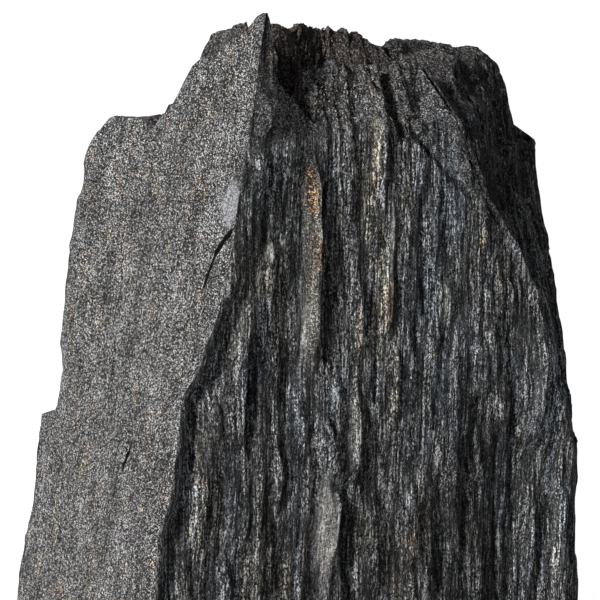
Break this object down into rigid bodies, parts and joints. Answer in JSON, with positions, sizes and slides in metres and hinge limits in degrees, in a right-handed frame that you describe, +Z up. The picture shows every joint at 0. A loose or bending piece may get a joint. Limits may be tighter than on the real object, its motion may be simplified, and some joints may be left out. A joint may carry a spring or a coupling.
{
  "type": "schist stone post",
  "caption": "Upright splinter of dark schist: a flat grained face, a ridged fibrous front, a shaded flank and a jagged broken top, cut flat at the foot to stand on.",
  "frame": {"origin": "middle of the flat foot", "axes": "+Z up along the post; the ridged front looks towards -Y and the flat cleavage face towards -X"},
  "size_m": [0.2738, 0.1507, 1.0004],
  "materials": {
    "schist": "split schist: fine glittering grain on the flat face, dark satin fibres with rust and ochre streaks on the ridged front, dull brown-black in the broken hollow"
  },
  "bodies": {
    "root": {"schist_post": "schist"}
  },
  "joints": []
}
